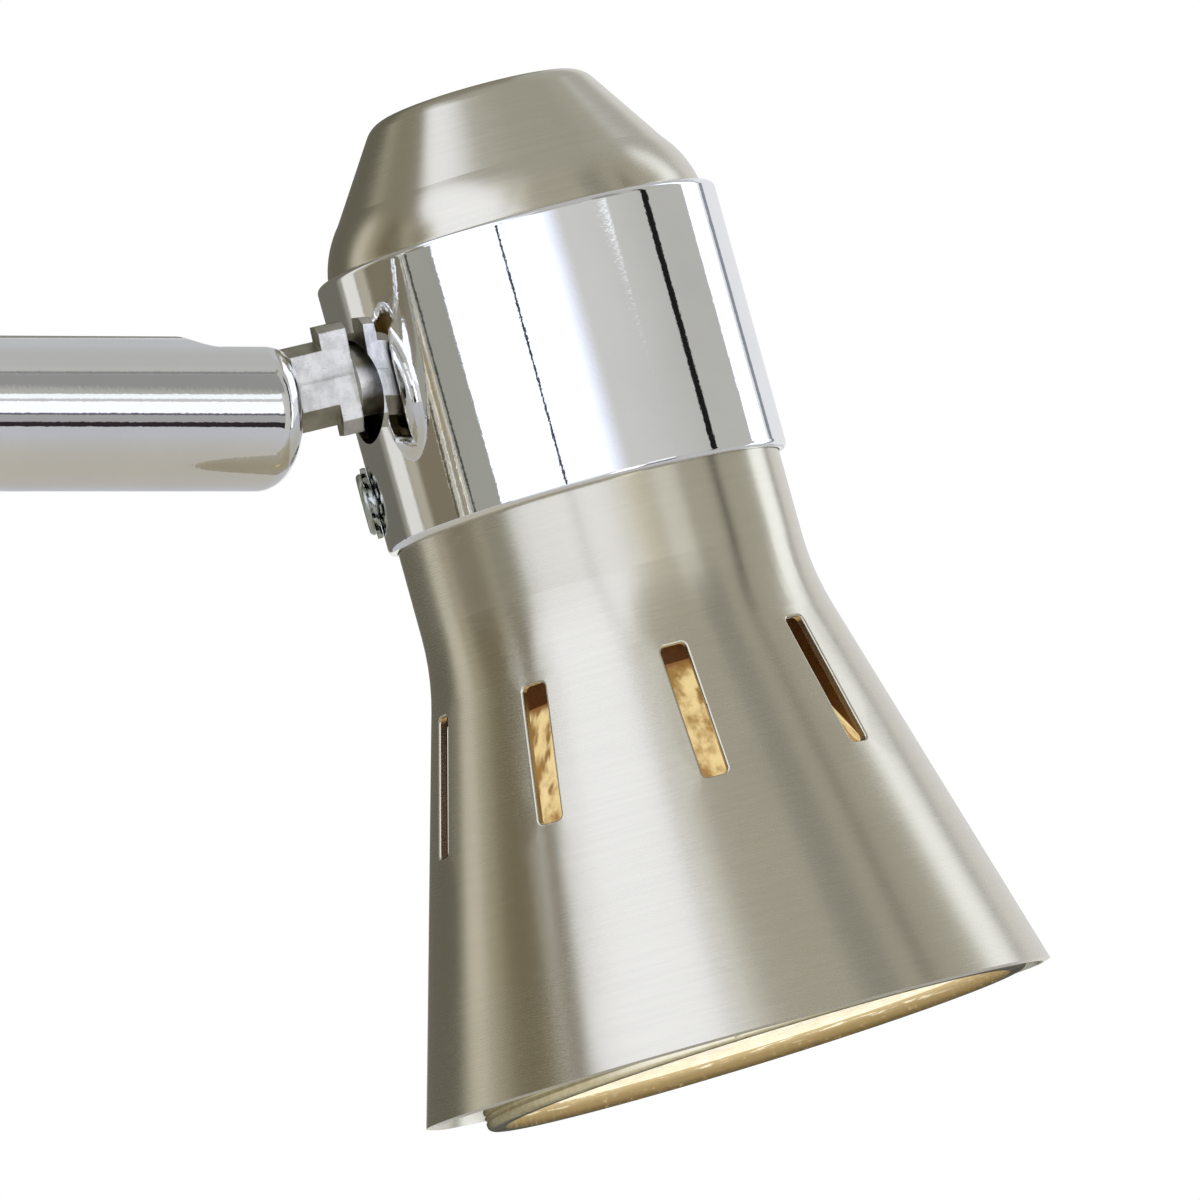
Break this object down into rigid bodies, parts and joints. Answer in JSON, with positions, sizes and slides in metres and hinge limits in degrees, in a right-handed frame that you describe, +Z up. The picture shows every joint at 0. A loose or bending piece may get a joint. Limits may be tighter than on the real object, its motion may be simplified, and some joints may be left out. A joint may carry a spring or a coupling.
{
  "type": "track lighting fixture",
  "caption": "Ceiling bar light: chrome bar on a round rose, with slotted conical spot heads that tilt and swivel on die-cast knuckles and hold twist-lock reflector lamps.",
  "frame": {"origin": "middle of the rose's rim, on the ceiling plane, midway between the ceiling screws", "axes": "+Z up into the ceiling, +X along the bar, -Y to the front"},
  "size_m": [0.367, 0.08, 0.1222],
  "materials": {
    "chrome": "polished",
    "brushed_nickel": "fine circumferential brushing",
    "die_cast": "tumbled zinc casting",
    "zinc_plated_steel": "zinc plated",
    "brass": "turned",
    "ceramic": "unglazed ceramic",
    "reflector_glass": "coated reflector glass",
    "front_glass": "clear, lit from behind",
    "capsule_glass": "clear quartz",
    "white_nylon": "moulded",
    "lead_sleeve": "smooth sleeve"
  },
  "bodies": {
    "bar": {"canopy": "brushed_nickel", "ceiling_bracket": "zinc_plated_steel", "canopy_studs": "zinc_plated_steel", "canopy_nuts": "chrome", "stem_nipple": "zinc_plated_steel", "stem_nut": "zinc_plated_steel", "stem_sleeve": "chrome", "bar_collar": "chrome", "collar_grub_screw": "zinc_plated_steel", "bar_tube": "chrome", "terminal_block": "white_nylon", "terminal_screws": "zinc_plated_steel", "earth_screw": "brass", "bar_leads": "lead_sleeve", "right_hinge_insert": "brass", "right_hinge_pin": "zinc_plated_steel", "left_hinge_insert": "brass", "left_hinge_pin": "zinc_plated_steel"},
    "right_knuckle": {"right_knuckle": "die_cast", "right_hinge_washers": "white_nylon", "right_swivel_washer": "zinc_plated_steel", "right_swivel_push_nut": "zinc_plated_steel", "right_knuckle_leads": "lead_sleeve"},
    "right_head": {"right_band": "chrome", "right_cap": "brushed_nickel", "right_shade": "brushed_nickel", "right_band_screw": "zinc_plated_steel", "right_lock_washer": "zinc_plated_steel", "right_holder_bracket": "zinc_plated_steel", "right_lampholder": "ceramic", "right_holder_contacts": "brass", "right_holder_screws": "zinc_plated_steel", "right_head_leads": "lead_sleeve"},
    "right_lamp": {"right_lamp_reflector": "reflector_glass", "right_lamp_front_glass": "front_glass", "right_lamp_base": "ceramic", "right_lamp_pins": "zinc_plated_steel", "right_lamp_capsule": "capsule_glass"},
    "left_knuckle": {"left_knuckle": "die_cast", "left_hinge_washers": "white_nylon", "left_swivel_washer": "zinc_plated_steel", "left_swivel_push_nut": "zinc_plated_steel", "left_knuckle_leads": "lead_sleeve"},
    "left_head": {"left_band": "chrome", "left_cap": "brushed_nickel", "left_shade": "brushed_nickel", "left_band_screw": "zinc_plated_steel", "left_lock_washer": "zinc_plated_steel", "left_holder_bracket": "zinc_plated_steel", "left_lampholder": "ceramic", "left_holder_contacts": "brass", "left_holder_screws": "zinc_plated_steel", "left_head_leads": "lead_sleeve"},
    "left_lamp": {"left_lamp_reflector": "reflector_glass", "left_lamp_front_glass": "front_glass", "left_lamp_base": "ceramic", "left_lamp_pins": "zinc_plated_steel", "left_lamp_capsule": "capsule_glass"}
  },
  "joints": [
    {"name": "right_tilt", "type": "hinge", "parent": "bar", "child": "right_knuckle", "pos_m": [0.1104, 0, -0.058], "axis": [0, -1, 0], "range_deg": [-12.7, 57.3]},
    {"name": "right_swivel", "type": "hinge", "parent": "right_knuckle", "child": "right_head", "pos_m": [0.14137, 0, -0.05102], "axis": [0.9755, 0, 0.2198], "range_deg": [-155, 175]},
    {"name": "right_lamp_twist", "type": "hinge", "parent": "right_head", "child": "right_lamp", "pos_m": [0.14278, -0.00113, -0.05727], "axis": [-0.2437, 0.1736, 0.9542], "range_deg": [0, 22]},
    {"name": "left_tilt", "type": "hinge", "parent": "bar", "child": "left_knuckle", "pos_m": [-0.1104, 0, -0.058], "axis": [0, 1, 0], "range_deg": [-12.7, 57.3]},
    {"name": "left_swivel", "type": "hinge", "parent": "left_knuckle", "child": "left_head", "pos_m": [-0.14137, 0, -0.05102], "axis": [-0.9755, 0, 0.2198], "range_deg": [-155, 175]},
    {"name": "left_lamp_twist", "type": "hinge", "parent": "left_head", "child": "left_lamp", "pos_m": [-0.14278, 0.00113, -0.05727], "axis": [0.2437, -0.1736, 0.9542], "range_deg": [0, 22]}
  ]
}
